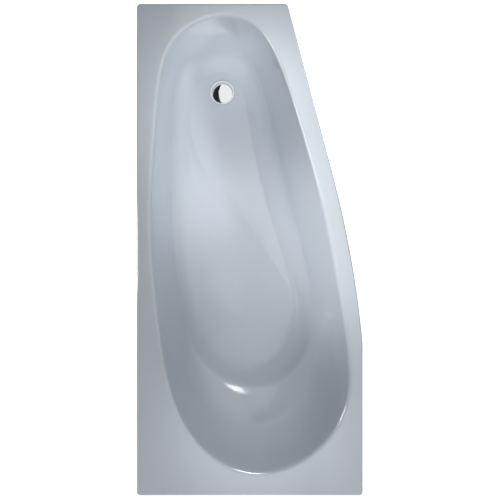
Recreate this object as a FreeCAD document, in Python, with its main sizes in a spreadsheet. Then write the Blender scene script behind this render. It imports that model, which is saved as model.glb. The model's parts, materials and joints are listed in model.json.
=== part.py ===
import FreeCAD, Part
import math
import os
import Sketcher
from FreeCAD import Placement, Rotation, Vector

# Asymmetric, tapered bathtub of enamelled steel, with waste, trap and foot set.
# Frame: X to the right and Y towards the narrow foot end as seen from above, Z up.
# The origin is on the floor, under the centre of the rim's outer box. Millimetres.

doc = FreeCAD.newDocument("Bathtub")

# Driving sizes, grouped by the piece that they belong to
sizes = {
    # rim
    "tubLength": 1600,
    "tubWidth": 735,
    "footEndWidth": 490,
    "taperEndX": 274,
    "taperEndY": 230,
    "bulgeEndY": -303,
    "bulgeRadius": 3400,
    "rimHeight": 570,
    "lipHeight": 38,
    "rimCorner": 12,
    "rimRoll": 6,
    "steelWall": 3,
    "openingRoll": 12,
    # basin
    "floorHeight": 150,
    "drainX": -98,
    "drainFromFoot": 240,
    # drain seat pressed into the floor
    "seatClear": 1,
    "seatDepth": 3,
    "neckClear": 0.5,
    # earth lug inside the lip
    "lugFromSide": 67.5,
    "lugWidth": 25,
    "lugHeight": 48,
    "lugThickness": 3,
    "lugBelowRim": 10,
    "lugHole": 3.25,
    "lugHoleRise": 9,
    # gaps and shared values
    "fitGap": 0.3,
    "runningGap": 0.05,
    "cutOverrun": 5,
    # sound mats
    "matThickness": 3,
    # cross rails
    "railBelowFloor": 38,
    "railWidth": 40,
    "railHeight": 25,
    "railWall": 2.5,
    "nutToCap": 2,
    "drainRailX": -65,
    "drainRailY": 330,
    "drainStudDistance": 364,
    "headRailX": 5,
    "headRailY": -270,
    "headStudDistance": 400,
    # end caps of the rails
    "capThickness": 3,
    "capPlug": 12,
    # blocks between the rails and the tub
    "blockWidth": 36,
    "drainBlockX": -90,
    "drainBlockLength": 200,
    "drainBlockRise": 25,
    "headBlockX": 10,
    "headBlockLength": 280,
    "headBlockRise": 45,
    # screws that hold the blocks
    "screwRadius": 3,
    "screwHeadRadius": 5,
    "screwHeadHeight": 4,
    "screwLength": 20,
    "screwInset": 30,
    # threaded studs and their nuts
    "studRadius": 6,
    "studAboveRail": 38,
    "studFlats": 17,
    "studFlatsHeight": 7,
    "studTipRadius": 5,
    "studTipLength": 10,
    "nutFlats": 19,
    "lockNutHeight": 7,
    "weldNutHeight": 10,
    # swivelling feet
    "padRadius": 24,
    "padRimHeight": 5,
    "padHeight": 14,
    "padNeckRadius": 12,
    "padEdge": 1.5,
    # waste: flange, gaskets and body
    "flangeGasket": 1.2,
    "gasketInset": 2,
    "flangeRadius": 43,
    "flangeThickness": 2.2,
    "flangeEdge": 0.8,
    "flangeLand": 31,
    "neckRadius": 25.5,
    "neckWall": 3,
    "neckLength": 28,
    "hubTop": 14,
    "hubHeight": 8,
    "hubRadius": 12.5,
    "spokes": 3,
    "spokeWidth": 4,
    "spokeHeight": 6,
    "lowerGasket": 3,
    "bodyFlangeRadius": 38,
    "bodyFlange": 4,
    "bodyWall": 4,
    "bodyCupBottom": 46,
    "bodyConeHeight": 8,
    # waste: plug
    "plugTravel": 9,
    "plugGap": 0.2,
    "plugCapRadius": 38.5,
    "plugCapRise": 5.2,
    "plugCapWall": 1.6,
    "plugCapClear": 1,
    "plugSealInset": 0.9,
    "plugSealHole": 10,
    "plugSealThickness": 2.4,
    "plugDiscInset": 6,
    "plugDiscThickness": 1.6,
    "plugBossRadius": 8,
    "stemRadius": 3,
    "stemEndThickness": 2,
    # waste: push-open cartridge
    "cartridgeRadius": 9.25,
    "cartridgeCollar": 11.5,
    "cartridgeCollarHeight": 2,
    "cartridgeBore": 6.8,
    "cartridgeBottom": 44,
    "cartridgeFloor": 3,
    "guideHeight": 3,
    "springRadius": 5.2,
    "springWire": 0.45,
    "springTurns": 5,
    # pipes and trap
    "pipeRadius": 20,
    "pipeWall": 2.5,
    "legWall": 2.1,
    "threadDepth": 3,
    "threadLength": 10,
    "collarInset": 1,
    "collarHeight": 3,
    "pipeSeal": 3,
    "nutWall": 5,
    "nutLip": 4,
    "nutRibs": 8,
    "nutRibWidth": 6,
    "nutRibDepth": 3,
    "nutEdge": 1.5,
    "nutClear": 10.9,
    "inletLeg": 12,
    "elbowBend": 25,
    "outletRise": 72,
    "elbowRun": 15,
    "outletPipeLength": 100,
    # cleaning opening of the trap
    "cleanRadius": 15,
    "cleanWall": 4,
    "cleanCapClear": 5.4,
    "cleanSeal": 2,
    "cleanCapWall": 3,
    "cleanCapSkirt": 9,
}

sheet = doc.addObject("Spreadsheet::Sheet", "Sizes")
for row, (name, value) in enumerate(sizes.items(), start=1):
    sheet.set("A%d" % row, name)
    sheet.set("B%d" % row, str(value))
    sheet.setAlias("B%d" % row, name)
doc.recompute()


class Length:
    """A size that knows both its value and the formula that drives it."""

    def __init__(self, value, formula):
        self.value = float(value)
        self.formula = formula

    def joined(self, sign, other, value):
        other_formula = other.formula if isinstance(other, Length) else repr(other)
        return Length(value, "(%s %s %s)" % (self.formula, sign, other_formula))

    def __add__(self, other):
        return self.joined("+", other, self.value + float(other))

    def __sub__(self, other):
        return self.joined("-", other, self.value - float(other))

    def __mul__(self, other):
        return self.joined("*", other, self.value * float(other))

    def __truediv__(self, other):
        return self.joined("/", other, self.value / float(other))

    def __neg__(self):
        return Length(-self.value, "(-1 * %s)" % self.formula)

    def __float__(self):
        return self.value


def size(name):
    return Length(sheet.get(name), "Sizes." + name)


def bind(item, path, length):
    """Drive one property by a formula, or set it to a plain number."""
    if isinstance(length, Length):
        item.setExpression(path, length.formula)
    else:
        setattr(item, path, length)


def place(item, x=0, y=0, z=0, rotation=None):
    """Put an object at named lengths, turned if need be."""
    item.Placement = Placement(Vector(), rotation or Rotation())
    for axis, length in (("x", x), ("y", y), ("z", z)):
        if isinstance(length, Length):
            item.setExpression("Placement.Base." + axis, length.formula)
    return item


finished = []


def keep(item):
    """Note a finished piece, which is written under its own name."""
    item.Label = item.Name
    finished.append(item)
    return item


# Simple solids and how they join

def cylinder(name, radius, height, x=0, y=0, z=0, rotation=None):
    item = doc.addObject("Part::Cylinder", name)
    bind(item, "Radius", radius)
    bind(item, "Height", height)
    return place(item, x, y, z, rotation)


def box(name, long, wide, tall, x=0, y=0, z=0):
    item = doc.addObject("Part::Box", name)
    bind(item, "Length", long)
    bind(item, "Width", wide)
    bind(item, "Height", tall)
    return place(item, x, y, z)


def ring_piece(name, ring, tube, turn):
    item = doc.addObject("Part::Torus", name)
    bind(item, "Radius1", ring)
    bind(item, "Radius2", tube)
    item.Angle3 = turn
    return item


hexagon_corner_share = 1 / math.sqrt(3)


def hexagon(name, flats, height, x=0, y=0, z=0):
    item = doc.addObject("Part::Prism", name)
    item.Polygon = 6
    bind(item, "Circumradius", flats * hexagon_corner_share)
    bind(item, "Height", height)
    return place(item, x, y, z)


def fuse(name, *members):
    item = doc.addObject("Part::MultiFuse", name)
    item.Shapes = list(members)
    item.Refine = True
    return item


def cut(name, base, tool):
    item = doc.addObject("Part::Cut", name)
    item.Base = base
    item.Tool = tool
    return item


def group(name, members):
    item = doc.addObject("Part::Compound", name)
    item.Links = list(members)
    return item


def shaped(name, shape):
    item = doc.addObject("Part::Feature", name)
    item.Shape = shape
    return item


# Sketches and bodies

def new_body(name):
    item = doc.addObject("PartDesign::Body", name)
    item.Label = name
    return item


def new_sketch(body, role):
    sketch = body.newObject("Sketcher::SketchObject", body.Name + "_sketch")
    plane = next(item for item in body.Origin.OriginFeatures if item.Role == role)
    sketch.AttachmentSupport = [(plane, "")]
    sketch.MapMode = "FlatFace"
    return sketch


def hold_point(sketch, line, end, x, y):
    """Fix one end of a line at named lengths from the sketch's origin."""
    for kind, axis, length in (("DistanceX", -2, x), ("DistanceY", -1, y)):
        if isinstance(length, Length):
            rule = Sketcher.Constraint(kind, -1, 1, line, end, length.value)
            index = sketch.addConstraint(rule)
            sketch.setExpression("Constraints[%d]" % index, length.formula)
        else:
            sketch.addConstraint(Sketcher.Constraint("PointOnObject", line, end, axis))


def draw_outline(sketch, corners, arcs=None):
    """A closed outline. arcs gives the radius of the side that follows a corner,
    positive where the side swells to the left of its direction."""
    arcs = arcs or {}
    spots = [Vector(float(x), float(y), 0) for x, y in corners]
    ends = []
    for index, start in enumerate(spots):
        finish = spots[(index + 1) % len(spots)]
        if index not in arcs:
            side = sketch.addGeometry(Part.LineSegment(start, finish))
            ends.append((side, 1, 2))
            continue
        radius = arcs[index]
        chord = finish - start
        reach = abs(float(radius))
        rise = reach - math.sqrt(reach ** 2 - (chord.Length / 2) ** 2)
        left = Vector(-chord.y, chord.x, 0).normalize()
        middle = (start + finish) / 2 + left * math.copysign(rise, float(radius))
        side = sketch.addGeometry(Part.Arc(start, middle, finish))
        first = sketch.getPoint(side, 1)
        order = (1, 2) if first.distanceToPoint(start) < first.distanceToPoint(finish) else (2, 1)
        ends.append((side,) + order)
    for index, (side, start, finish) in enumerate(ends):
        following = ends[(index + 1) % len(ends)]
        rule = Sketcher.Constraint("Coincident", side, finish, following[0], following[1])
        sketch.addConstraint(rule)
    for (side, start, finish), (x, y) in zip(ends, corners):
        hold_point(sketch, side, start, x, y)
    for index, radius in arcs.items():
        radius = radius if float(radius) > 0 else -radius
        rule = Sketcher.Constraint("Radius", ends[index][0], radius.value)
        number = sketch.addConstraint(rule)
        sketch.setExpression("Constraints[%d]" % number, radius.formula)


def draw_circle(sketch, radius, x=0, y=0):
    spot = Vector(float(x), float(y), 0)
    circle = sketch.addGeometry(Part.Circle(spot, Vector(0, 0, 1), float(radius)))
    number = sketch.addConstraint(Sketcher.Constraint("Radius", circle, radius.value))
    sketch.setExpression("Constraints[%d]" % number, radius.formula)
    if isinstance(x, Length) or isinstance(y, Length):
        hold_point(sketch, circle, 3, x, y)
    else:
        sketch.addConstraint(Sketcher.Constraint("Coincident", circle, 3, -1, 1))


def pad(body, sketch, length, reversed_side=False):
    feature = body.newObject("PartDesign::Pad", body.Name + "_pad")
    feature.Profile = sketch
    bind(feature, "Length", length)
    feature.Reversed = reversed_side
    return feature


def pocket(body, sketch, length, reversed_side=False):
    feature = body.newObject("PartDesign::Pocket", body.Name + "_pocket")
    feature.Profile = sketch
    bind(feature, "Length", length)
    feature.Reversed = reversed_side
    return feature


def turned(name, corners, arcs=None):
    """A turned piece: its half section is drawn in X and Z and turned about Z."""
    body = new_body(name)
    sketch = new_sketch(body, "XZ_Plane")
    draw_outline(sketch, corners, arcs)
    feature = body.newObject("PartDesign::Revolution", name + "_turn")
    feature.Profile = sketch
    feature.ReferenceAxis = (sketch, ["V_Axis"])
    feature.Angle = 360
    return body


def turned_ring(name, inner, outer, low, high):
    return turned(name, [(inner, low), (outer, low), (outer, high), (inner, high)])


# Basin: control outlines as shares of the half width and half length, clockwise from
# the foot end. Each has the same fourteen columns, which run down the walls and into the floor.
opening_shares = [
    (-0.283, 0.985), (0.155, 0.915), (0.397, 0.585), (0.678, 0.148), (0.830, -0.280),
    (0.928, -0.599), (0.659, -0.814), (0.199, -0.931), (-0.291, -0.885), (-0.683, -0.676),
    (-0.814, -0.301), (-0.903, 0.150), (-0.822, 0.568), (-0.772, 0.860),
]
wall_foot_shares = [
    (-0.316, 0.891), (0.046, 0.859), (0.190, 0.609), (0.370, 0.216), (0.615, -0.168),
    (0.604, -0.445), (0.256, -0.615), (-0.201, -0.596), (-0.522, -0.475), (-0.632, -0.285),
    (-0.726, -0.012), (-0.748, 0.300), (-0.746, 0.614), (-0.691, 0.819),
]
floor_edge_shares = [
    (-0.288, 0.830), (0.003, 0.791), (0.033, 0.610), (0.147, 0.314), (0.346, -0.004),
    (0.535, -0.250), (0.330, -0.385), (-0.045, -0.405), (-0.375, -0.355), (-0.545, -0.205),
    (-0.600, 0.030), (-0.588, 0.301), (-0.648, 0.584), (-0.607, 0.775),
]
foot_well_shares = [
    (-0.272, 0.810), (-0.060, 0.752), (-0.005, 0.538), (0.122, 0.250), (0.294, 0.006),
    (0.412, -0.160), (0.440, -0.220), (0.305, -0.110), (0.122, 0.019), (-0.082, 0.156),
    (-0.286, 0.265), (-0.517, 0.400), (-0.604, 0.563), (-0.531, 0.762),
]
well_middle_shares = [
    (-0.272, 0.790), (-0.103, 0.745), (-0.076, 0.569), (0.041, 0.294), (0.169, 0.094),
    (0.285, -0.065), (0.310, -0.110), (0.245, -0.062), (0.103, 0.052), (-0.060, 0.178),
    (-0.231, 0.300), (-0.408, 0.431), (-0.517, 0.578), (-0.449, 0.750),
]
# Depths of the two upper outlines in each column, as shares of the basin's depth. The
# two lower ones lie in the floor, a plane that falls to the drain.
wall_foot_depth_shares = [
    0.82, 0.82, 0.82, 0.82, 0.80, 0.73, 0.70, 0.70, 0.71, 0.76, 0.81, 0.82, 0.82, 0.82,
]
floor_edge_depth_shares = [
    0.965, 0.965, 0.96, 0.955, 0.955, 0.955, 0.94, 0.92, 0.915, 0.915, 0.915, 0.92, 0.94, 0.96,
]
# How far each column has the backrest's hollow profile and the bowl's lip under it,
# and how far it has the step down into the foot well
backrest_shares = [0, 0, 0, 0, 0.1, 0.7, 1, 1, 1, 0.5, 0.1, 0, 0, 0]
step_shares = [0, 0, 0, 0, 0, 0.3, 0.8, 1, 1, 1, 1, 0.8, 0.3, 0]
# Rows between two outlines, as shares of the way across and of the way down
wall_row_shares = [(0.04, 0.045), (0.33, 0.33), (0.66, 0.66), (0.90, 0.90)]
backrest_row_shares = [(0.03, 0.06), (0.20, 0.50), (0.50, 0.84), (0.91, 0.988)]
corner_row_shares = [(0.12, 0.30), (0.47, 0.72)]
bowl_row_shares = [(0.07, 0.10), (0.40, 0.72)]
floor_row_shares = [(0.45, 0.45), (0.84, 0.84)]
step_row_shares = [(0.32, 0.28), (0.74, 0.42)]
well_row_shares = [(0.30, 0.30), (0.65, 0.65)]
floor_fall_share = 0.015


def control_rows():
    """Control points of the inner face, row by row from the rim to the floor's middle."""
    half_width = float(size("tubWidth")) / 2
    half_length = float(size("tubLength")) / 2
    rim = float(size("rimHeight"))
    depth = rim - float(size("floorHeight"))
    drain_y = half_length - float(size("drainFromFoot"))
    columns = range(len(opening_shares))

    def outline(shares, depths):
        return [
            Vector(x * half_width, y * half_length, rim - deep * depth)
            for (x, y), deep in zip(shares, depths)
        ]

    def floor_outline(shares):
        points = outline(shares, [1 for column in columns])
        return [point + Vector(0, 0, (drain_y - point.y) * floor_fall_share) for point in points]

    def rows_between(upper, lower, plain, special, blends):
        rows = []
        for (across, down), (other_across, other_down) in zip(plain, special):
            row = []
            for start, finish, blend in zip(upper, lower, blends):
                way = across + (other_across - across) * blend
                drop = down + (other_down - down) * blend
                leg = finish - start
                row.append(start + Vector(leg.x * way, leg.y * way, leg.z * drop))
            rows.append(row)
        return rows

    opening = outline(opening_shares, [0 for column in columns])
    wall_foot = outline(wall_foot_shares, wall_foot_depth_shares)
    floor_edge = outline(floor_edge_shares, floor_edge_depth_shares)
    foot_well = floor_outline(foot_well_shares)
    well_middle = floor_outline(well_middle_shares)
    rim_ring = []
    for column in columns:
        along = opening[(column + 1) % len(opening)] - opening[column - 1]
        out = Vector(-along.y, along.x, 0).normalize()
        rim_ring.append(opening[column] + out * float(size("openingRoll")))

    rows = [rim_ring, opening]
    rows += rows_between(opening, wall_foot, wall_row_shares, backrest_row_shares, backrest_shares)
    rows.append(wall_foot)
    rows += rows_between(wall_foot, floor_edge, corner_row_shares, bowl_row_shares, backrest_shares)
    rows.append(floor_edge)
    rows += rows_between(floor_edge, foot_well, floor_row_shares, step_row_shares, step_shares)
    rows.append(foot_well)
    rows += rows_between(foot_well, well_middle, well_row_shares, well_row_shares, step_shares)
    return rows + [well_middle]


def moved_rows(rows, distance):
    """The same control points, moved away from the water by a distance."""
    moved = []
    for level, row in enumerate(rows):
        ring = []
        for column, point in enumerate(row):
            along = row[(column + 1) % len(row)] - row[column - 1]
            normals = []
            if level > 0:
                normals.append(along.cross(point - rows[level - 1][column]).normalize())
            if level < len(rows) - 1:
                normals.append(along.cross(rows[level + 1][column] - point).normalize())
            first, last = normals[0], normals[-1]
            ring.append(point + (first + last) * (distance / (1 + first.dot(last))))
        moved.append(ring)
    return moved


def skin_surface(rows):
    """A smooth closed band through the control rows, from the rim to the floor."""
    columns = len(rows[0])
    levels = len(rows)
    poles = [[row[column] for row in rows] for column in range(columns)]
    around = [1] * (columns + 1)
    down = [4] + [1] * (levels - 4) + [4]
    surface = Part.BSplineSurface()
    surface.buildFromPolesMultsKnots(
        poles, around, down, list(range(len(around))), list(range(len(down))), True, False, 3, 3
    )
    return surface


def skin_face(rows):
    return skin_surface(rows).toShape()


def end_edges(face):
    """The band's closed edges: at the rim and in the floor."""
    rings = [edge for edge in face.Edges if edge.isClosed()]
    rings.sort(key=lambda edge: edge.BoundBox.ZMin)
    return rings[-1], rings[0]


def disc(edge):
    return Part.Face(Part.Wire(edge))


def solid_from(faces):
    shell = Part.makeShell(faces)
    shell.sewShape()
    solid = Part.makeSolid(shell)
    if solid.Volume < 0:
        solid.reverse()
    return solid


def basin_form(distance):
    """All that the basin encloses, its face moved away from the water by a distance."""
    band = skin_face(moved_rows(control_rows(), float(distance)))
    upper, lower = end_edges(band)
    return solid_from([band, disc(upper), disc(lower)])


def basin_skin():
    """The pressed basin alone: inner and outer face, joined along the opening."""
    wall = float(size("steelWall"))
    inner = skin_face(control_rows())
    outer = skin_face(moved_rows(control_rows(), wall))
    upper, lower = end_edges(inner)
    edge_wall = upper.extrude(Vector(0, 0, -wall))
    return solid_from([inner, outer, edge_wall, disc(lower), disc(end_edges(outer)[1])])


def opening_prism():
    """What the rim's plate leaves open, from its top down through its thickness."""
    overrun = float(size("cutOverrun"))
    upper = end_edges(skin_face(control_rows()))[0]
    wall = float(size("steelWall"))
    return disc(upper).extrude(Vector(0, 0, -wall - overrun))


# Shell: rim with its turned-down lip, basin and pressed drain seat

wall = size("steelWall")
rim_height = size("rimHeight")
half_width = size("tubWidth") / 2
half_length = size("tubLength") / 2
drain_x = size("drainX")
drain_y = half_length - size("drainFromFoot")
floor_top = size("floorHeight")
seat_top = floor_top - size("seatDepth")
seat_radius = size("flangeRadius") + size("seatClear")
drain_hole = size("neckRadius") + size("neckClear")
overrun = size("cutOverrun")


def edges_of(shape, wanted):
    return ["Edge%d" % (i + 1) for i, edge in enumerate(shape.Edges) if wanted(edge)]


def rim_body():
    body = new_body("rim")
    sketch = new_sketch(body, "XY_Plane")
    corners = [
        (-half_width, half_length),
        (size("footEndWidth") - half_width, half_length),
        (size("taperEndX"), size("taperEndY")),
        (half_width, size("bulgeEndY")),
        (half_width, -half_length),
        (-half_width, -half_length),
    ]
    draw_outline(sketch, corners, {2: size("bulgeRadius")})
    block = pad(body, sketch, size("lipHeight"), True)
    doc.recompute()

    square = [corners[index] for index in (0, 1, 4, 5)]

    def is_corner(edge):
        upright = edge.BoundBox.ZLength > float(size("lipHeight")) / 2
        foot = edge.Vertexes[0].Point
        spots = [Vector(float(x), float(y), foot.z) for x, y in square]
        return upright and min(foot.distanceToPoint(spot) for spot in spots) < float(wall)

    rounded = body.newObject("PartDesign::Fillet", "rim_corners")
    rounded.Base = (block, edges_of(block.Shape, is_corner))
    bind(rounded, "Radius", size("rimCorner"))
    doc.recompute()

    rolled = body.newObject("PartDesign::Fillet", "rim_roll")
    top_edges = edges_of(rounded.Shape, lambda edge: abs(edge.BoundBox.ZMin) < float(wall) / 2)
    rolled.Base = (rounded, top_edges)
    bind(rolled, "Radius", size("rimRoll"))
    doc.recompute()

    return place(body, z=rim_height)


def rim_cavity(body):
    """The room under the rim and inside its lip, with its upper edges rounded."""
    lowest = min(body.Shape.Faces, key=lambda face: face.BoundBox.ZMax)
    inner = lowest.OuterWire.makeOffset2D(-float(wall))
    inner.translate(Vector(0, 0, -float(overrun)))
    room = Part.Face(inner).extrude(Vector(0, 0, float(size("lipHeight") - wall + overrun)))
    top = room.BoundBox.ZMax
    upper = [edge for edge in room.Edges if edge.BoundBox.ZMin > top - float(wall) / 2]
    return room.makeFillet(float(size("rimRoll") - wall), upper)


rim = rim_body()
doc.recompute()
rim_room = shaped("rim_room", rim_cavity(rim))
rim_turned = cut("rim_turned", rim, rim_room)
rim_opening = shaped("rim_opening", opening_prism())
rim_plate = cut("rim_plate", rim_turned, rim_opening)
skin = shaped("basin_skin", basin_skin())
seat_press = cylinder(
    "seat_press", seat_radius + wall, size("seatDepth") + wall / 2,
    drain_x, drain_y, seat_top - wall,
)
tub_whole = fuse("tub_whole", rim_plate, skin, seat_press)
tub_whole.Refine = False
seat_recess = cylinder(
    "seat_recess", seat_radius, size("seatDepth") + overrun, drain_x, drain_y, seat_top
)
seat_hole = cylinder(
    "seat_hole", drain_hole, wall + overrun * 2, drain_x, drain_y, seat_top - wall - overrun
)
keep(cut("tub_shell", tub_whole, fuse("seat_tools", seat_recess, seat_hole)))

# Earth lug: a tab welded to the lip's inner face at the foot end, with a hole for a bolt

lug_top = rim_height - size("lugBelowRim")
lug_bottom = lug_top - size("lugHeight")
lug_face = half_length - wall
lug_x = size("lugFromSide") - half_width
lug_plate = box(
    "lug_plate", size("lugWidth"), size("lugThickness"), size("lugHeight"),
    lug_x - size("lugWidth") / 2, lug_face - size("lugThickness"), lug_bottom,
)
lug_drill = cylinder(
    "lug_drill", size("lugHole"), size("lugThickness") + overrun * 2,
    lug_x, lug_face + overrun, lug_bottom + size("lugHoleRise"),
    Rotation(Vector(1, 0, 0), 90),
)
keep(cut("earth_lug", lug_plate, lug_drill))

# Sound mats: sheets that follow the shell's underside, a hair away from it. Each covers
# a span of the way round the basin, clockwise from the foot end, and of the way down.

mat_near = skin_surface(moved_rows(control_rows(), float(wall + size("fitGap"))))
mat_gap = wall + size("fitGap") + size("matThickness")
mat_far = skin_surface(moved_rows(control_rows(), float(mat_gap)))
mat_span_shares = {
    "mat_under_seat": ((0.52, 0.67), (0.67, 0.80)),
    "mat_left_wall": ((0.65, 0.82), (0.155, 0.32)),
    "mat_right_wall": ((0.08, 0.25), (0.155, 0.32)),
    "mat_backrest": ((0.365, 0.52), (0.13, 0.285)),
}


def sound_mat(name, around, down):
    columns = len(opening_shares)
    rows = mat_near.LastVKnotIndex - 1
    spans = [share * columns for share in around] + [share * rows for share in down]
    near = mat_near.toShape(*spans)
    far = mat_far.toShape(*spans)
    sides = [Part.makeRuledSurface(*pair) for pair in zip(near.Edges, far.Edges)]
    keep(shaped(name, solid_from([near, far] + sides)))


for name, (around, down) in mat_span_shares.items():
    sound_mat(name, around, down)

# Foot set: a rail across the tub at each end, a block on it that follows the tub's
# underside, a threaded stud with its nuts and a swivelling foot at each rail's ends

rail_top = floor_top - size("railBelowFloor")
rail_wall = size("railWall")
rail_half = size("railWidth") / 2
web_under = rail_top - rail_wall
stud_pass = size("studRadius") + size("runningGap")
beyond_stud = size("nutFlats") * hexagon_corner_share + size("nutToCap") + size("capPlug")
rail_spots = {
    "drain": (size("drainRailX"), size("drainRailY"), size("drainStudDistance")),
    "head": (size("headRailX"), size("headRailY"), size("headStudDistance")),
}
block_spots = {
    "drain": (size("drainBlockX"), size("drainBlockLength"), size("drainBlockRise")),
    "head": (size("headBlockX"), size("headBlockLength"), size("headBlockRise")),
}
block_form = shaped("block_form", basin_form(wall + size("fitGap")))
weld_nuts = []
lock_nuts = []
end_caps = []
block_screws = []


def hex_nut(name, height, x, y, z):
    blank = hexagon(name + "_blank", size("nutFlats"), height, x, y, z)
    bore = cylinder(name + "_bore", stud_pass, height + overrun * 2, x, y, z - overrun)
    return cut(name, blank, bore)


def end_cap(name, x, y, outward):
    """A plate over the rail's end with a plug inside it; outward is 1 or -1 along X."""
    gap = size("fitGap")
    tall = size("railHeight")
    plate_x = x if outward > 0 else x - size("capThickness")
    plug_x = x - size("capPlug") if outward > 0 else x
    plate = box(
        name + "_plate", size("capThickness"), size("railWidth"), tall,
        plate_x, y - rail_half, rail_top - tall,
    )
    inner_half = rail_half - rail_wall - gap
    plug = box(
        name + "_plug", size("capPlug"), inner_half * 2, tall - rail_wall - gap,
        plug_x, y - inner_half, rail_top - tall,
    )
    return fuse(name, plate, plug)


def screw(name, x, y):
    head = cylinder(
        name + "_head", size("screwHeadRadius"), size("screwHeadHeight"),
        x, y, web_under - size("screwHeadHeight"),
    )
    shank = cylinder(
        name + "_shank", size("screwRadius"), size("screwLength"), x, y, web_under
    )
    return fuse(name, head, shank)


def foot_rail(end, x, y, spacing, screw_xs):
    """A channel open downwards, with holes for its two studs and the block's screws."""
    half_span = spacing / 2 + beyond_stud
    body = new_body("rail_%s_end" % end)
    profile = new_sketch(body, "YZ_Plane")
    inner = rail_half - rail_wall
    draw_outline(profile, [
        (-rail_half, -size("railHeight")),
        (-inner, -size("railHeight")),
        (-inner, -rail_wall),
        (inner, -rail_wall),
        (inner, -size("railHeight")),
        (rail_half, -size("railHeight")),
        (rail_half, 0),
        (-rail_half, 0),
    ])
    pad(body, profile, half_span * 2)
    holes = new_sketch(body, "XY_Plane")
    draw_circle(holes, stud_pass, beyond_stud, 0)
    draw_circle(holes, stud_pass, beyond_stud + spacing, 0)
    for screw_x in screw_xs:
        draw_circle(holes, size("screwRadius") + size("runningGap"), screw_x - x + half_span, 0)
    pocket(body, holes, rail_wall + overrun)
    keep(place(body, x - half_span, y, rail_top))
    return half_span


def support_block(end, x, y, long, rise, screw_xs):
    """A block whose top is hollowed to the underside of the tub; rise is how far it
    reaches above the lowest point of the floor."""
    blank = box(
        end + "_block_blank", long, size("blockWidth"), floor_top + rise - rail_top,
        x - long / 2, y - size("blockWidth") / 2, rail_top,
    )
    drills = [
        cylinder(
            "%s_block_drill_%d" % (end, i), size("screwRadius") + size("runningGap"),
            size("screwLength") - rail_wall + size("fitGap") + overrun,
            screw_x, y, rail_top - overrun,
        )
        for i, screw_x in enumerate(screw_xs)
    ]
    tools = fuse(end + "_block_tools", block_form, *drills)
    tools.Refine = False
    keep(cut("support_block_" + end, blank, tools))


def foot_stud(name, x, y):
    """A threaded rod with a spanner hexagon and a plain tip that turns in the foot."""
    body = new_body(name)
    rod = new_sketch(body, "XY_Plane")
    draw_circle(rod, size("studRadius"))
    pad(body, rod, rail_top + size("studAboveRail") - size("padHeight"))
    tip = new_sketch(body, "XY_Plane")
    draw_circle(tip, size("studTipRadius"))
    pad(body, tip, size("studTipLength"), True)
    flats = new_sketch(body, "XY_Plane")
    reach = size("studFlats") * hexagon_corner_share
    half_flat = size("studFlats") / 2
    draw_outline(flats, [
        (reach, 0), (reach / 2, half_flat), (-reach / 2, half_flat),
        (-reach, 0), (-reach / 2, -half_flat), (reach / 2, -half_flat),
    ])
    pad(body, flats, size("studFlatsHeight"))
    keep(place(body, x, y, size("padHeight")))


def foot_pad(name, x, y):
    tip_hole = size("studTipRadius") + size("runningGap")
    socket = size("padHeight") - size("studTipLength")
    edge = size("padEdge")
    body = turned(name, [
        (0, 0),
        (size("padRadius") - edge, 0),
        (size("padRadius"), edge),
        (size("padRadius"), size("padRimHeight")),
        (size("padNeckRadius"), size("padHeight")),
        (tip_hole, size("padHeight")),
        (tip_hole, socket),
        (0, socket),
    ])
    keep(place(body, x, y))


for end, (rail_x, rail_y, spacing) in rail_spots.items():
    block_x, block_length, block_rise = block_spots[end]
    half_block = block_length / 2 - size("screwInset")
    screw_xs = [block_x - half_block, block_x + half_block]
    half_span = foot_rail(end, rail_x, rail_y, spacing, screw_xs)
    support_block(end, block_x, rail_y, block_length, block_rise, screw_xs)
    for screw_x in screw_xs:
        number = len(block_screws)
        block_screws.append(screw("block_screw_%d" % number, screw_x, rail_y))
    for side, outward in (("left", -1), ("right", 1)):
        corner = "%s_%s" % (end, side)
        stud_x = rail_x + spacing / 2 * outward
        foot_stud("foot_stud_" + corner, stud_x, rail_y)
        foot_pad("foot_pad_" + corner, stud_x, rail_y)
        weld_z = web_under - size("weldNutHeight")
        weld_nuts.append(
            hex_nut("weld_nut_" + corner, size("weldNutHeight"), stud_x, rail_y, weld_z)
        )
        lock_nuts.append(
            hex_nut("lock_nut_" + corner, size("lockNutHeight"), stud_x, rail_y, rail_top)
        )
        cap_x = rail_x + half_span * outward
        end_caps.append(end_cap("end_cap_" + corner, cap_x, rail_y, outward))
keep(group("weld_nuts", weld_nuts))
keep(group("lock_nuts", lock_nuts))
keep(group("rail_end_caps", end_caps))
keep(group("block_screws", block_screws))

# Waste. Its pieces are drawn about the drain's axis with zero height at the seat in
# the shell's floor, and then set there.

cap_rim_share = 0.75
thread_grip_share = 0.8
gasket_top = size("flangeGasket")
flange_top = gasket_top + size("flangeThickness")
neck_outer = size("neckRadius")
neck_bore = neck_outer - size("neckWall")
plug_low = flange_top + size("plugGap")
disc_low = plug_low + size("plugSealThickness")
disc_top = disc_low + size("plugDiscThickness")
cap_low = plug_low + size("plugCapClear")
cap_rim = size("plugCapWall") * cap_rim_share
cap_side_top = disc_top + size("fitGap") + cap_rim
cap_top = cap_side_top + size("plugCapRise")
seal_radius = size("plugCapRadius") - size("plugCapWall") - size("plugSealInset")
disc_radius = seal_radius - size("plugDiscInset")
collar_top = size("cartridgeCollarHeight") - size("hubTop")
guide_low = collar_top - size("guideHeight")
stem_end_top = guide_low - size("fitGap") - size("plugTravel")
stem_low = stem_end_top - size("stemEndThickness")
gap = size("runningGap")


def at_drain(item, x=0, y=0, z=0, rotation=None):
    """Set a waste piece at lengths from the drain's axis and the seat."""
    return place(item, drain_x + x, drain_y + y, seat_top + z, rotation)


def drain_tube(name, radius, low, high, x=0):
    return at_drain(cylinder(name, radius, high - low), x=x, z=low)


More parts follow.
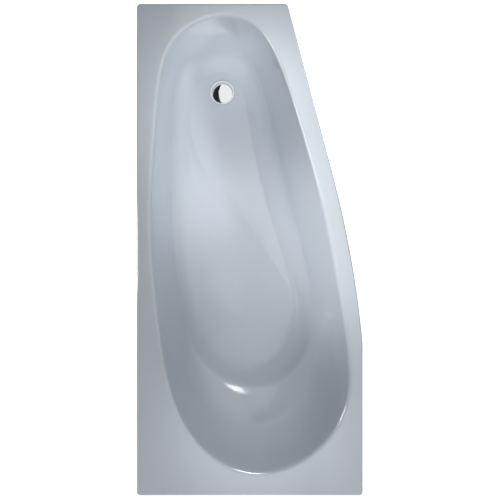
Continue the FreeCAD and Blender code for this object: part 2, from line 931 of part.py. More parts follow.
def spaced_round(body, sketch, length, count):
    """A pad repeated evenly about the body's axis."""
    feature = pad(body, sketch, length)
    pattern = body.newObject("PartDesign::PolarPattern", body.Name + "_round")
    pattern.Originals = [feature]
    pattern.Axis = (sketch, ["N_Axis"])
    pattern.Angle = 360
    bind(pattern, "Occurrences", count)
    body.Tip = pattern


def draw_bar(sketch, start, finish, width):
    """A rectangle along X, centred on the axis."""
    half = width / 2
    draw_outline(sketch, [(start, -half), (finish, -half), (finish, half), (start, half)])


def waste_flange():
    """The polished ring and its neck, with a hub on three arms for the cartridge."""
    ring = turned("flange_ring", [
        (neck_bore, -size("neckLength")),
        (neck_outer, -size("neckLength")),
        (neck_outer, gasket_top),
        (size("flangeRadius"), gasket_top),
        (size("flangeRadius"), flange_top - size("flangeEdge")),
        (size("flangeRadius") - size("flangeEdge"), flange_top),
        (size("flangeLand"), flange_top),
        (neck_bore, gasket_top + size("flangeEdge") / 2),
    ])
    arms = new_body("flange_arms")
    hub = new_sketch(arms, "XY_Plane")
    draw_circle(hub, size("hubRadius"))
    pad(arms, hub, size("hubHeight"))
    arm = new_sketch(arms, "XY_Plane")
    draw_bar(arm, size("cartridgeRadius"), neck_bore + size("neckWall") / 2, size("spokeWidth"))
    spaced_round(arms, arm, size("spokeHeight"), size("spokes"))
    bore = new_sketch(arms, "XY_Plane")
    draw_circle(bore, size("cartridgeRadius") + gap)
    pocket(arms, bore, size("hubHeight") + overrun, True)
    at_drain(ring)
    at_drain(arms, z=-size("hubTop") - size("hubHeight"))
    keep(fuse("waste_flange", ring, arms))


def plug():
    """The push-open plug: domed cap, rubber seal, and a stem with the seal's disc.
    The stem's wide end meets the guide ring when the plug stands open."""
    radius = size("plugCapRadius")
    rise = size("plugCapRise")
    sheet_wall = size("plugCapWall")
    dome = (radius * radius + rise * rise) / (rise * 2)
    cap = turned("plug_cap", [
        (radius - sheet_wall, cap_low),
        (radius, cap_low),
        (radius, cap_side_top),
        (0, cap_top),
        (0, cap_top - sheet_wall),
        (radius - sheet_wall, cap_side_top - cap_rim),
    ], {2: -dome, 4: dome - sheet_wall})
    keep(at_drain(cap))
    keep(at_drain(turned_ring(
        "plug_seal", size("plugSealHole"), seal_radius, plug_low, disc_low
    )))
    end_radius = size("cartridgeBore") - size("fitGap")
    boss_top = cap_top - sheet_wall - size("fitGap")
    keep(at_drain(turned("plug_stem", [
        (0, stem_low),
        (end_radius, stem_low),
        (end_radius, stem_end_top),
        (size("stemRadius"), stem_end_top),
        (size("stemRadius"), disc_low),
        (disc_radius, disc_low),
        (disc_radius, disc_top),
        (size("plugBossRadius"), disc_top),
        (size("plugBossRadius"), boss_top),
        (0, boss_top),
    ])))


def cartridge():
    """The sleeve that guides the stem, its guide ring, and the spring under the stem."""
    outer = size("cartridgeRadius")
    bore = size("cartridgeBore")
    low = -size("cartridgeBottom")
    floor = low + size("cartridgeFloor")
    hub_top = -size("hubTop")
    keep(at_drain(turned("valve_cartridge", [
        (0, low),
        (outer, low),
        (outer, hub_top),
        (size("cartridgeCollar"), hub_top),
        (size("cartridgeCollar"), collar_top),
        (bore, collar_top),
        (bore, floor),
        (0, floor),
    ])))
    keep(at_drain(turned_ring(
        "cartridge_guide", size("stemRadius") + gap, bore - gap, guide_low, collar_top
    )))
    wire = size("springWire")
    tall = float(stem_low - floor - wire * 2 - size("fitGap"))
    spring = shaped("cartridge_spring", coil(float(size("springRadius")), tall, float(wire)))
    keep(at_drain(spring, z=floor + wire))


def coil(radius, tall, wire):
    """A round wire wound about Z from a height of zero, on pairs of tangent arcs."""
    steps = int(float(size("springTurns"))) * 4
    turn = math.pi / 2
    climb = tall / steps

    def station(number):
        angle = number * turn
        spot = Vector(radius * math.cos(angle), radius * math.sin(angle), number * climb)
        along = Vector(-radius * turn * math.sin(angle), radius * turn * math.cos(angle), climb)
        return spot, along.normalize()

    def arc(start, corner, finish):
        weight = (finish - start).Length / 2 / (corner - start).Length
        middle = (start + finish + corner * (2 * weight)) / (2 + 2 * weight)
        return Part.Arc(start, middle, finish).toShape()

    edges = []
    for number in range(steps):
        start, leaving = station(number)
        finish, arriving = station(number + 1)
        chord = finish - start
        slope = chord.dot(leaving + arriving)
        bend = 2 * (1 - leaving.dot(arriving))
        reach = (math.sqrt(slope ** 2 + bend * chord.dot(chord)) - slope) / bend
        first = start + leaving * reach
        second = finish - arriving * reach
        middle = (first + second) / 2
        edges += [arc(start, first, middle), arc(middle, second, finish)]
    section = Part.Wire(Part.makeCircle(wire, station(0)[0], station(0)[1]))
    return Part.Wire(edges).makePipeShell([section], True, False)


cone_bottom = -size("bodyCupBottom") - size("bodyConeHeight")
thread_end = cone_bottom - size("threadLength")
thread_radius = size("pipeRadius") + size("threadDepth")
pipe_bore = size("pipeRadius") - size("pipeWall")
leg_radius = pipe_bore + size("legWall")
collar_radius = thread_radius - size("collarInset")
nut_radius = thread_radius + size("nutWall")
rib_radius = nut_radius + size("nutRibDepth") - size("nutEdge")


def waste_body():
    """The plastic cup under the tub, which ends in a threaded spigot."""
    top = -wall - size("lowerGasket")
    cup_bore = neck_outer + gap
    cup = cup_bore + size("bodyWall")
    keep(at_drain(turned("waste_body", [
        (pipe_bore, thread_end),
        (thread_radius, thread_end),
        (thread_radius, cone_bottom),
        (cup, -size("bodyCupBottom")),
        (cup, top - size("bodyFlange")),
        (size("bodyFlangeRadius"), top - size("bodyFlange")),
        (size("bodyFlangeRadius"), top),
        (cup_bore, top),
        (cup_bore, -size("bodyCupBottom")),
        (pipe_bore, cone_bottom),
    ])))


# Trap: from the waste down, round a low bend, up, and out level towards +X

along_x = Rotation(Vector(0, 1, 0), 90)
along_minus_y = Rotation(Vector(1, 0, 0), 90)
upright = Rotation(Vector(1, 0, 0), 90)
leg_top = thread_end - size("pipeSeal")
bend_radius = (rib_radius + size("nutClear") + leg_radius) / 2
bend_z = leg_top - size("inletLeg")
clean_z = bend_z - bend_radius
outlet_z = clean_z + size("outletRise")
elbow_z = outlet_z - size("elbowBend")
second_x = bend_radius * 2
elbow_x = second_x + size("elbowBend")
run_end = elbow_x + size("elbowRun")
clean_reach = leg_radius + size("cleanCapClear") + size("cleanCapSkirt")
clean_bore = size("cleanRadius") - size("cleanWall")


def trap_run(name, radius, clean_radius, extra):
    """The whole run of the trap as one solid of a given radius."""
    spin = Rotation(Vector(0, 0, 1), 180)
    quarter = Rotation(Vector(0, 0, 1), 90)
    bottom = ring_piece(name + "_bottom", bend_radius, radius, 180)
    elbow = ring_piece(name + "_elbow", size("elbowBend"), radius, 90)
    run = cylinder(name + "_run", radius, size("elbowRun") + extra)
    clean = cylinder(name + "_clean", clean_radius, clean_reach + extra)
    return fuse(
        name,
        drain_tube(name + "_down", radius, bend_z, leg_top + extra),
        at_drain(bottom, bend_radius, 0, bend_z, upright * spin),
        drain_tube(name + "_up", radius, bend_z, elbow_z, second_x),
        at_drain(elbow, elbow_x, 0, elbow_z, upright * quarter),
        at_drain(run, elbow_x, 0, outlet_z, along_x),
        at_drain(clean, bend_radius, 0, clean_z, along_minus_y),
    )


def trap_bend():
    collar = size("collarHeight")
    outer = trap_run("trap_outer", leg_radius, size("cleanRadius"), 0)
    inlet = drain_tube("trap_inlet_collar", collar_radius, leg_top - collar, leg_top)
    outlet = cylinder("trap_outlet_collar", collar_radius, collar)
    at_drain(outlet, run_end - collar, 0, outlet_z, along_x)
    solid = fuse("trap_solid", outer, inlet, outlet)
    keep(cut("trap_bend", solid, trap_run("trap_bore", pipe_bore, clean_bore, overrun)))


def union_nut(name, x, z, rotation=None):
    """A ribbed nut that draws a collar, with its seal, against a threaded end."""
    low = size("nutLip")
    tall = low + size("collarHeight") + size("pipeSeal") + size("threadLength") * thread_grip_share
    outer = nut_radius
    edge = size("nutEdge")
    body = turned(name, [
        (leg_radius + gap, 0),
        (outer - edge, 0),
        (outer, edge),
        (outer, tall - edge),
        (outer - edge, tall),
        (thread_radius + gap, tall),
        (thread_radius + gap, low),
        (leg_radius + gap, low),
    ])
    rib = new_sketch(body, "XY_Plane")
    draw_bar(rib, outer - edge * 2, rib_radius, size("nutRibWidth"))
    spaced_round(body, rib, tall - edge, size("nutRibs"))
    keep(at_drain(body, x, 0, z, rotation))


def trap_unions():
    joint = size("pipeSeal") + size("collarHeight") + size("nutLip")
    union_nut("trap_inlet_nut", 0, thread_end - joint)
    outlet_face = run_end + size("pipeSeal")
    union_nut("trap_outlet_nut", outlet_face - joint, outlet_z, along_x)
    upper = turned_ring(
        "inlet_seal", pipe_bore, collar_radius, 0, size("pipeSeal")
    )
    level = turned_ring(
        "outlet_seal", pipe_bore, collar_radius, 0, size("pipeSeal")
    )
    at_drain(upper, z=leg_top)
    at_drain(level, run_end, 0, outlet_z, along_x)
    keep(group("trap_seals", [upper, level]))
    pipe = turned("outlet_pipe", [
        (pipe_bore, 0),
        (thread_radius, 0),
        (thread_radius, size("threadLength")),
        (size("pipeRadius"), size("threadLength")),
        (size("pipeRadius"), size("outletPipeLength")),
        (pipe_bore, size("outletPipeLength")),
    ])
    keep(at_drain(pipe, outlet_face, 0, outlet_z, along_x))


def cleaning_cap():
    seal = size("cleanSeal")
    top = seal + size("cleanCapWall")
    edge = size("nutEdge")
    bore = size("cleanRadius") + gap
    outer = bore + size("cleanCapWall")
    cap = turned("cleaning_cap", [
        (bore, -size("cleanCapSkirt")),
        (outer, -size("cleanCapSkirt")),
        (outer, top - edge),
        (outer - edge, top),
        (0, top),
        (0, seal),
        (bore, seal),
    ])
    rib = new_sketch(cap, "XY_Plane")
    draw_bar(rib, outer - edge * 2, outer + edge, size("nutRibWidth") / 2)
    spaced_round(cap, rib, seal, size("nutRibs"))
    ring = turned_ring("cleaning_seal", clean_bore, size("cleanRadius"), 0, seal)
    for item in (cap, ring):
        keep(at_drain(item, bend_radius, -clean_reach, clean_z, along_minus_y))


keep(at_drain(turned_ring(
    "flange_gasket", neck_outer + gap, size("flangeRadius") - size("gasketInset"), 0, gasket_top
)))
keep(at_drain(turned_ring(
    "lower_gasket", neck_outer + gap, size("bodyFlangeRadius"), -wall - size("lowerGasket"), -wall
)))
waste_flange()
plug()
cartridge()
waste_body()
trap_bend()
trap_unions()
cleaning_cap()

# Check every object, then write each finished piece

doc.recompute()
faults = [item.Name for item in doc.Objects if {"Invalid", "Error"} & set(item.State)]
for item in finished:
    if item.Shape.isNull() or not item.Shape.isValid() or item.Shape.Volume <= 0:
        faults.append(item.Name)
if faults:
    raise RuntimeError("not sound: " + ", ".join(faults))
os.makedirs("parts", exist_ok=True)
for item in finished:
    item.Shape.exportStep("parts/%s.step" % item.Label)
    print("%-24s %d solids, %10.0f mm3" % (item.Label, len(item.Shape.Solids), item.Shape.Volume))
print(len(finished), "pieces written")
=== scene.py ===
import json
import math
import bpy
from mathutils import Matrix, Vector


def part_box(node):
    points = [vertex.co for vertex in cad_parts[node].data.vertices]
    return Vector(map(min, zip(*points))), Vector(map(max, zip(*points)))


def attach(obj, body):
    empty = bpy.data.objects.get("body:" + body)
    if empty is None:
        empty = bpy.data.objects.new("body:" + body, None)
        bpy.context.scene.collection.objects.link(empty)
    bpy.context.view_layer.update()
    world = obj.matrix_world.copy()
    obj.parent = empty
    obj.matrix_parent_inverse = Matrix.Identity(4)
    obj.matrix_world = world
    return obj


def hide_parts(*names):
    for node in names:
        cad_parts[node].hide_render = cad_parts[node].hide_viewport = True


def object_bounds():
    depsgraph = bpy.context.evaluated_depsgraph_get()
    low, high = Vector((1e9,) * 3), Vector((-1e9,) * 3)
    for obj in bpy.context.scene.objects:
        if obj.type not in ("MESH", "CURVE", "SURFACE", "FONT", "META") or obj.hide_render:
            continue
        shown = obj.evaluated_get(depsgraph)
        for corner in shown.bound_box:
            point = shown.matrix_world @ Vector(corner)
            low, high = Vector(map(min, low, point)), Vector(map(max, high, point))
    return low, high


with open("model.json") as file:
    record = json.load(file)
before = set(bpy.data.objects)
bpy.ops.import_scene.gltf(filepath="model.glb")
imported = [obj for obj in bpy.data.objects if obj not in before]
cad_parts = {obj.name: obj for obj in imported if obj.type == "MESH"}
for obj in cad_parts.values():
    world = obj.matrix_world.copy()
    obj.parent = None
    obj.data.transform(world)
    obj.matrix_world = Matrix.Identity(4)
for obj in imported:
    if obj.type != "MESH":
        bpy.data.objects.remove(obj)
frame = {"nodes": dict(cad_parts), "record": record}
cadLow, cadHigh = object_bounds()
scene = bpy.context.scene
nodes = frame["nodes"]
subparts = frame["record"]["subparts"]
bodies = frame["record"]["behaviour"]["bodies"]
nodeBody = {node: body for body, members in bodies.items() for node in members}
corners = ("drain_left", "drain_right", "head_left", "head_right")
mm = 0.001
weldGap = 0.002 * mm  # vertices that lie closer are one
print("frame loaded:", len(nodes), "nodes")


# Camera, lamps and floor

cameraSetup = {
    "x": 0.0007,  # the photograph's middle lies a hair off the tub's
    "y": -0.0008,
    "aboveRim": 4.35,
    "sensor": 36.0,
    "seenWidth": 1.625,  # metres of the rim's plane across the picture
}
# the floor lies just under the pads at their lowest, so that it never hides them
floorSetup = {"size": 60.0, "level": -0.032, "albedo": (0.80, 0.80, 0.80), "glow": 0.88}
worldSetup = {"tint": (0.97, 0.985, 1.0), "strength": 0.295}
white = (1.0, 1.0, 1.0)
lampSetup = {
    # name: place, aimed at, size along its X and Y, spread in degrees, power, colour,
    # whether only reflections show it
    "headBank": ((-0.4, -3.7, 3.2), (0.0, 0.0, 0.5), (3.4, 3.0), 180.0, 108.0, (1.0, 0.99, 0.975), False),
    "nearRight": ((1.0, -0.1, 1.5), (0.0, -0.1, 0.5), (0.9, 0.9), 180.0, 3.0, white, False),
    "lipGrid": ((0.096, 0.032, 1.029), (-0.05, -0.445, 0.28), (0.17, 0.034), 12.0, 0.0033, white, True),
    "edgeGrid": ((0.078, -0.163, 0.767), (-0.02, -0.72, 0.567), (0.19, 0.20), 30.0, 0.17, white, True),
    "leftStrip": ((-1.5, 0.0, 1.0), (0.35, 0.0, 0.57), (0.35, 1.6), 180.0, 22.0, white, True),
    "headSpark": ((-0.07, -3.0, 2.6), (-0.05, 0.7, 0.4), (0.30, 0.18), 180.0, 5.0, white, True),
}
spotSetup = {
    # name: place, aimed at, whole angle in degrees, softness of its edge, lamp's radius, power
    "wellSpot": ((0.05, 0.40, 2.6), (-0.06, 0.37, 0.15), 20.0, 1.0, 0.10, 37.0),
    "seatSpot": ((0.05, -0.05, 2.6), (0.0, 0.0, 0.2), 22.0, 1.0, 0.10, 50.0),
    "backSpot": ((0.05, -0.45, 2.6), (0.02, -0.59, 0.37), 20.0, 1.0, 0.10, 56.0),
    "footWallSpot": ((0.02, -0.9, 2.6), (-0.05, 0.68, 0.27), 12.2, 1.0, 0.10, 110.0),
    "rightWallSpot": ((-1.3, 0.05, 2.3), (0.32, 0.02, 0.41), 20.5, 1.0, 0.12, 142.0),
    "leftWallSpot": ((1.3, 0.66, 2.2), (-0.22, 0.45, 0.26), 26.5, 1.0, 0.15, 104.0),
    "slopeSpot": ((0.3, 1.7, 2.4), (-0.02, 0.27, 0.20), 15.0, 1.0, 0.12, 15.0),
}
darkRingSetup = {
    "place": (0.98, 0.66, 1.75),
    "inner": 1.32,
    "outer": 3.6,
    "steps": 96,
    "keptLeftOf": 0.3,
    "shade": 0.012,
}


def deselectAll():
    bpy.ops.object.select_all(action="DESELECT")


def pickOnly(item):
    deselectAll()
    item.select_set(True)
    bpy.context.view_layer.objects.active = item


def openMesh(item):
    pickOnly(item)
    bpy.ops.object.mode_set(mode="EDIT")
    bpy.ops.mesh.select_all(action="SELECT")


def closeMesh():
    bpy.ops.object.mode_set(mode="OBJECT")


def makeCamera():
    data = bpy.data.cameras.new("photoCamera")
    camera = bpy.data.objects.new("photoCamera", data)
    scene.collection.objects.link(camera)
    camera.location = (cameraSetup["x"], cameraSetup["y"], cadHigh.z + cameraSetup["aboveRim"])
    data.sensor_width = cameraSetup["sensor"]
    data.lens = cameraSetup["sensor"] * cameraSetup["aboveRim"] / cameraSetup["seenWidth"]
    data.clip_end = 100.0
    scene.camera = camera


def placeLamp(name, data, place, target, mirrored):
    lamp = bpy.data.objects.new(name, data)
    scene.collection.objects.link(lamp)
    lamp.location = place
    lamp.rotation_euler = (Vector(target) - lamp.location).to_track_quat("-Z", "Y").to_euler()
    lamp.visible_camera = False
    lamp.visible_glossy = mirrored
    lamp.visible_diffuse = not mirrored


def makeLamps():
    for name, (place, target, size, spread, power, colour, mirrored) in lampSetup.items():
        data = bpy.data.lights.new(name, "AREA")
        data.shape = "RECTANGLE"
        data.size, data.size_y = size
        data.spread = math.radians(spread)
        data.energy = power
        data.color = colour
        placeLamp(name, data, place, target, mirrored)
    for name, (place, target, angle, edge, radius, power) in spotSetup.items():
        data = bpy.data.lights.new(name, "SPOT")
        data.spot_size = math.radians(angle)
        data.spot_blend = edge
        data.shadow_soft_size = radius
        data.energy = power
        placeLamp(name, data, place, target, False)


def backgroundRays(tree):
    # 1 where a ray shows the background: seen directly, mirrored or through glass
    rays = tree.nodes.new("ShaderNodeLightPath")
    total = rays.outputs["Is Camera Ray"]
    for label in ("Is Glossy Ray", "Is Transmission Ray"):
        add = tree.nodes.new("ShaderNodeMath")
        add.operation = "ADD"
        add.use_clamp = True
        tree.links.new(total, add.inputs[0])
        tree.links.new(rays.outputs[label], add.inputs[1])
        total = add.outputs["Value"]
    return total


def makeWorld():
    world = bpy.data.worlds.new("studio")
    scene.world = world
    world.use_nodes = True
    tree = world.node_tree
    tree.nodes.clear()
    out = tree.nodes.new("ShaderNodeOutputWorld")
    mix = tree.nodes.new("ShaderNodeMixShader")
    lit = tree.nodes.new("ShaderNodeBackground")
    seen = tree.nodes.new("ShaderNodeBackground")
    lit.inputs["Color"].default_value = worldSetup["tint"] + (1.0,)
    lit.inputs["Strength"].default_value = worldSetup["strength"]
    seen.inputs["Color"].default_value = white + (1.0,)
    seen.inputs["Strength"].default_value = 1.0
    tree.links.new(backgroundRays(tree), mix.inputs["Fac"])
    tree.links.new(lit.outputs[0], mix.inputs[1])
    tree.links.new(seen.outputs[0], mix.inputs[2])
    tree.links.new(mix.outputs[0], out.inputs[0])


def makeFloor():
    # white to the camera, still takes the tub's shadow, and is clear when looked at from below
    deselectAll()
    bpy.ops.mesh.primitive_plane_add(size=floorSetup["size"], location=(0, 0, floorSetup["level"]))
    floor = bpy.context.object
    floor.name = "studioFloor"
    material = bpy.data.materials.new("studioFloor")
    material.use_nodes = True
    tree = material.node_tree
    tree.nodes.clear()
    out = tree.nodes.new("ShaderNodeOutputMaterial")
    diffuse = tree.nodes.new("ShaderNodeBsdfDiffuse")
    diffuse.inputs["Color"].default_value = floorSetup["albedo"] + (1.0,)
    glow = tree.nodes.new("ShaderNodeEmission")
    glow.inputs["Color"].default_value = white + (1.0,)
    fade = tree.nodes.new("ShaderNodeMath")
    fade.operation = "MULTIPLY"
    fade.inputs[1].default_value = floorSetup["glow"]
    both = tree.nodes.new("ShaderNodeAddShader")
    clear = tree.nodes.new("ShaderNodeBsdfTransparent")
    side = tree.nodes.new("ShaderNodeNewGeometry")
    rays = tree.nodes.new("ShaderNodeLightPath")
    fromBelow = tree.nodes.new("ShaderNodeMath")
    fromBelow.operation = "MULTIPLY"
    pick = tree.nodes.new("ShaderNodeMixShader")
    tree.links.new(backgroundRays(tree), fade.inputs[0])
    tree.links.new(fade.outputs[0], glow.inputs["Strength"])
    tree.links.new(diffuse.outputs[0], both.inputs[0])
    tree.links.new(glow.outputs[0], both.inputs[1])
    tree.links.new(side.outputs["Backfacing"], fromBelow.inputs[0])
    tree.links.new(rays.outputs["Is Camera Ray"], fromBelow.inputs[1])
    tree.links.new(fromBelow.outputs[0], pick.inputs["Fac"])
    tree.links.new(both.outputs[0], pick.inputs[1])
    tree.links.new(clear.outputs[0], pick.inputs[2])
    tree.links.new(pick.outputs[0], out.inputs[0])
    floor.data.materials.append(material)


def makeDarkRing():
    # the studio's dark side, which only mirrors see: part of a flat ring over the tub's left
    setup = darkRingSetup
    deselectAll()
    bpy.ops.mesh.primitive_circle_add(vertices=setup["steps"], radius=setup["inner"])
    ring = bpy.context.object
    ring.name = "darkRing"
    openMesh(ring)
    share = setup["outer"] / setup["inner"]
    bpy.ops.mesh.extrude_region_move()
    bpy.ops.transform.resize(value=(share, share, 1.0), center_override=(0.0, 0.0, 0.0))
    bpy.ops.mesh.select_all(action="SELECT")
    cutX = setup["keptLeftOf"] - setup["place"][0]
    bpy.ops.mesh.bisect(plane_co=(cutX, 0, 0), plane_no=(1, 0, 0), clear_outer=True)
    closeMesh()
    ring.location = setup["place"]
    ring.visible_camera = False
    ring.visible_diffuse = False
    ring.visible_shadow = False
    material = bpy.data.materials.new("darkRing")
    material.use_nodes = True
    shader = material.node_tree.nodes["Principled BSDF"]
    shade = setup["shade"]
    shader.inputs["Base Color"].default_value = (shade, shade, shade, 1.0)
    shader.inputs["Roughness"].default_value = 1.0
    ring.data.materials.append(material)


makeCamera()
makeLamps()
makeWorld()
makeFloor()
makeDarkRing()
scene.view_settings.view_transform = "Standard"
print("camera, lamps and floor made")


# Patterns that several finishes share. They run in metres of the object's own space.

def startGroup(name, numbers, results):
    group = bpy.data.node_groups.new(name, "ShaderNodeTree")
    for label, value in numbers.items():
        socket = group.interface.new_socket(label, in_out="INPUT", socket_type="NodeSocketFloat")
        socket.default_value = value
    for label in results:
        group.interface.new_socket(label, in_out="OUTPUT", socket_type="NodeSocketFloat")
    return group, group.nodes.new("NodeGroupInput"), group.nodes.new("NodeGroupOutput")


def makeCloudGroup():
    # a slow drift from 0 to 1, for tone and gloss that aren't quite even
    numbers = {"Scale": 4.0, "Detail": 2.0, "Low": 0.35, "High": 0.65}
    group, given, made = startGroup("softClouds", numbers, ["Mask"])
    place = group.nodes.new("ShaderNodeTexCoord")
    noise = group.nodes.new("ShaderNodeTexNoise")
    spread = group.nodes.new("ShaderNodeMapRange")
    group.links.new(place.outputs["Object"], noise.inputs["Vector"])
    group.links.new(given.outputs["Scale"], noise.inputs["Scale"])
    group.links.new(given.outputs["Detail"], noise.inputs["Detail"])
    group.links.new(noise.outputs["Fac"], spread.inputs["Value"])
    group.links.new(given.outputs["Low"], spread.inputs["From Min"])
    group.links.new(given.outputs["High"], spread.inputs["From Max"])
    group.links.new(spread.outputs["Result"], made.inputs["Mask"])
    return group


def makeGrainGroup():
    # fine relief: moulded skin, orange peel, the mat's grain and the ground coat's specks
    numbers = {"Scale": 300.0, "Detail": 3.0, "Roughness": 0.5}
    group, given, made = startGroup("fineGrain", numbers, ["Height"])
    place = group.nodes.new("ShaderNodeTexCoord")
    noise = group.nodes.new("ShaderNodeTexNoise")
    group.links.new(place.outputs["Object"], noise.inputs["Vector"])
    for label in ("Scale", "Detail", "Roughness"):
        group.links.new(given.outputs[label], noise.inputs[label])
    group.links.new(noise.outputs["Fac"], made.inputs["Height"])
    return group


def makeCellGroup():
    # cells with thin borders: zinc spangle, foam beads, embossed mat
    numbers = {"Scale": 60.0, "Border": 0.08, "Jitter": 1.0}
    group, given, made = startGroup("cells", numbers, ["Tone", "Height"])
    place = group.nodes.new("ShaderNodeTexCoord")
    tones = group.nodes.new("ShaderNodeTexVoronoi")
    edges = group.nodes.new("ShaderNodeTexVoronoi")
    edges.feature = "DISTANCE_TO_EDGE"
    grey = group.nodes.new("ShaderNodeSeparateColor")
    rise = group.nodes.new("ShaderNodeMapRange")
    for item in (tones, edges):
        group.links.new(place.outputs["Object"], item.inputs["Vector"])
        group.links.new(given.outputs["Scale"], item.inputs["Scale"])
        group.links.new(given.outputs["Jitter"], item.inputs["Randomness"])
    group.links.new(tones.outputs["Color"], grey.inputs["Color"])
    group.links.new(grey.outputs["Red"], made.inputs["Tone"])
    group.links.new(edges.outputs["Distance"], rise.inputs["Value"])
    group.links.new(given.outputs["Border"], rise.inputs["From Max"])
    group.links.new(rise.outputs["Result"], made.inputs["Height"])
    return group


def makeHairlineGroup():
    # fine lines that lie mostly along Y, as brushing and handling leave them
    numbers = {"Scale": 40.0, "Stretch": 18.0, "Level": 0.5}
    group, given, made = startGroup("hairlines", numbers, ["Mask"])
    place = group.nodes.new("ShaderNodeTexCoord")
    pull = group.nodes.new("ShaderNodeVectorMath")
    pull.operation = "MULTIPLY"
    ways = group.nodes.new("ShaderNodeCombineXYZ")
    ways.inputs["Y"].default_value = 1.0
    noise = group.nodes.new("ShaderNodeTexNoise")
    noise.inputs["Detail"].default_value = 4.0
    pick = group.nodes.new("ShaderNodeMapRange")
    pick.inputs["From Max"].default_value = 0.75
    group.links.new(given.outputs["Stretch"], ways.inputs["X"])
    group.links.new(given.outputs["Stretch"], ways.inputs["Z"])
    group.links.new(place.outputs["Object"], pull.inputs[0])
    group.links.new(ways.outputs["Vector"], pull.inputs[1])
    group.links.new(pull.outputs["Vector"], noise.inputs["Vector"])
    group.links.new(given.outputs["Scale"], noise.inputs["Scale"])
    group.links.new(given.outputs["Level"], pick.inputs["From Min"])
    group.links.new(noise.outputs["Fac"], pick.inputs["Value"])
    group.links.new(pick.outputs["Result"], made.inputs["Mask"])
    return group


cloudGroup = makeCloudGroup()
grainGroup = makeGrainGroup()
cellGroup = makeCellGroup()
hairlineGroup = makeHairlineGroup()


def useGroup(tree, group, **numbers):
    item = tree.nodes.new("ShaderNodeGroup")
    item.node_tree = group
    for label, value in numbers.items():
        item.inputs[label].default_value = value
    return item


def newMaterial(name, **settings):
    material = bpy.data.materials.new(name)
    material.use_nodes = True
    shader = material.node_tree.nodes["Principled BSDF"]
    for label, value in settings.items():
        shader.inputs[label].default_value = value
    return material, material.node_tree, shader


def blendColours(tree, mask, first, second):
    # either colour may be a plain tuple or another node's output; the Mix node has its
    # colours at inputs 6 and 7 and output 2
    mix = tree.nodes.new("ShaderNodeMix")
    mix.data_type = "RGBA"
    tree.links.new(mask, mix.inputs[0])
    for socket, colour in ((mix.inputs[6], first), (mix.inputs[7], second)):
        if isinstance(colour, tuple):
            socket.default_value = colour + (1.0,)
        else:
            tree.links.new(colour, socket)
    return mix.outputs[2]


def rangeOf(tree, mask, low, high, start=0.0, finish=1.0):
    spread = tree.nodes.new("ShaderNodeMapRange")
    spread.inputs["From Min"].default_value = start
    spread.inputs["From Max"].default_value = finish
    spread.inputs["To Min"].default_value = low
    spread.inputs["To Max"].default_value = high
    tree.links.new(mask, spread.inputs["Value"])
    return spread.outputs["Result"]


def blendValues(tree, mask, first, second):
    # the same for plain numbers, at inputs 2 and 3 and output 0
    mix = tree.nodes.new("ShaderNodeMix")
    tree.links.new(mask, mix.inputs[0])
    for socket, value in ((mix.inputs[2], first), (mix.inputs[3], second)):
        if isinstance(value, float):
            socket.default_value = value
        else:
            tree.links.new(value, socket)
    return mix.outputs[0]


def addBump(tree, shader, height, depth, strength, under=None):
    bump = tree.nodes.new("ShaderNodeBump")
    bump.inputs["Distance"].default_value = depth
    bump.inputs["Strength"].default_value = strength
    tree.links.new(height, bump.inputs["Height"])
    if under:
        tree.links.new(under, bump.inputs["Normal"])
    tree.links.new(bump.outputs["Normal"], shader.inputs["Normal"])
    return bump.outputs["Normal"]


# Finishes, one for each slot of the record

enamelSetup = {
    "face": (0.510, 0.555, 0.602),
    "faceDeep": (0.498, 0.545, 0.594),
    "groundCoat": (0.060, 0.070, 0.085),
    "groundSpeck": (0.150, 0.165, 0.190),
    "groundFrom": (-0.09, -0.03),  # the normal's Z between which one coat gives way to the other
    "speckEdge": (0.60, 0.68),
    "gloss": (0.085, 0.115),
    "groundGloss": 0.38,
    "clouds": {"Scale": 3.0, "Detail": 1.5},
    "specks": {"Scale": 420.0, "Detail": 2.0},
    "peel": {"Scale": 95.0, "Detail": 1.0, "Roughness": 0.3},
    "peelDepth": 0.00002,
    "peelStrength": 0.6,
}


def makeEnamel():
    # pale glassy top coat, and a dark speckled ground coat on all that faces down
    setup = enamelSetup
    material, tree, shader = newMaterial("enamel", IOR=1.5)
    place = tree.nodes.new("ShaderNodeTexCoord")
    split = tree.nodes.new("ShaderNodeSeparateXYZ")
    tree.links.new(place.outputs["Normal"], split.inputs["Vector"])
    below = rangeOf(tree, split.outputs["Z"], 1.0, 0.0, *setup["groundFrom"])
    clouds = useGroup(tree, cloudGroup, **setup["clouds"])
    specks = useGroup(tree, grainGroup, **setup["specks"])
    peel = useGroup(tree, grainGroup, **setup["peel"])
    flecks = rangeOf(tree, specks.outputs["Height"], 0.0, 1.0, *setup["speckEdge"])
    top = blendColours(tree, clouds.outputs["Mask"], setup["face"], setup["faceDeep"])
    ground = blendColours(tree, flecks, setup["groundCoat"], setup["groundSpeck"])
    tree.links.new(blendColours(tree, below, top, ground), shader.inputs["Base Color"])
    gloss = rangeOf(tree, clouds.outputs["Mask"], *setup["gloss"])
    tree.links.new(blendValues(tree, below, gloss, setup["groundGloss"]), shader.inputs["Roughness"])
    addBump(tree, shader, peel.outputs["Height"], setup["peelDepth"], setup["peelStrength"])
    return material


galvanisedSetup = {
    "light": (0.60, 0.615, 0.63),
    "dark": (0.43, 0.445, 0.46),
    "gloss": (0.26, 0.46),
    "spangle": {"Scale": 95.0, "Border": 0.05},
    "lines": {"Scale": 60.0, "Stretch": 12.0},
    "clouds": {"Scale": 22.0, "Detail": 3.0},
    "wornShare": 0.6,
    "depth": 0.00003,
    "strength": 0.5,
}


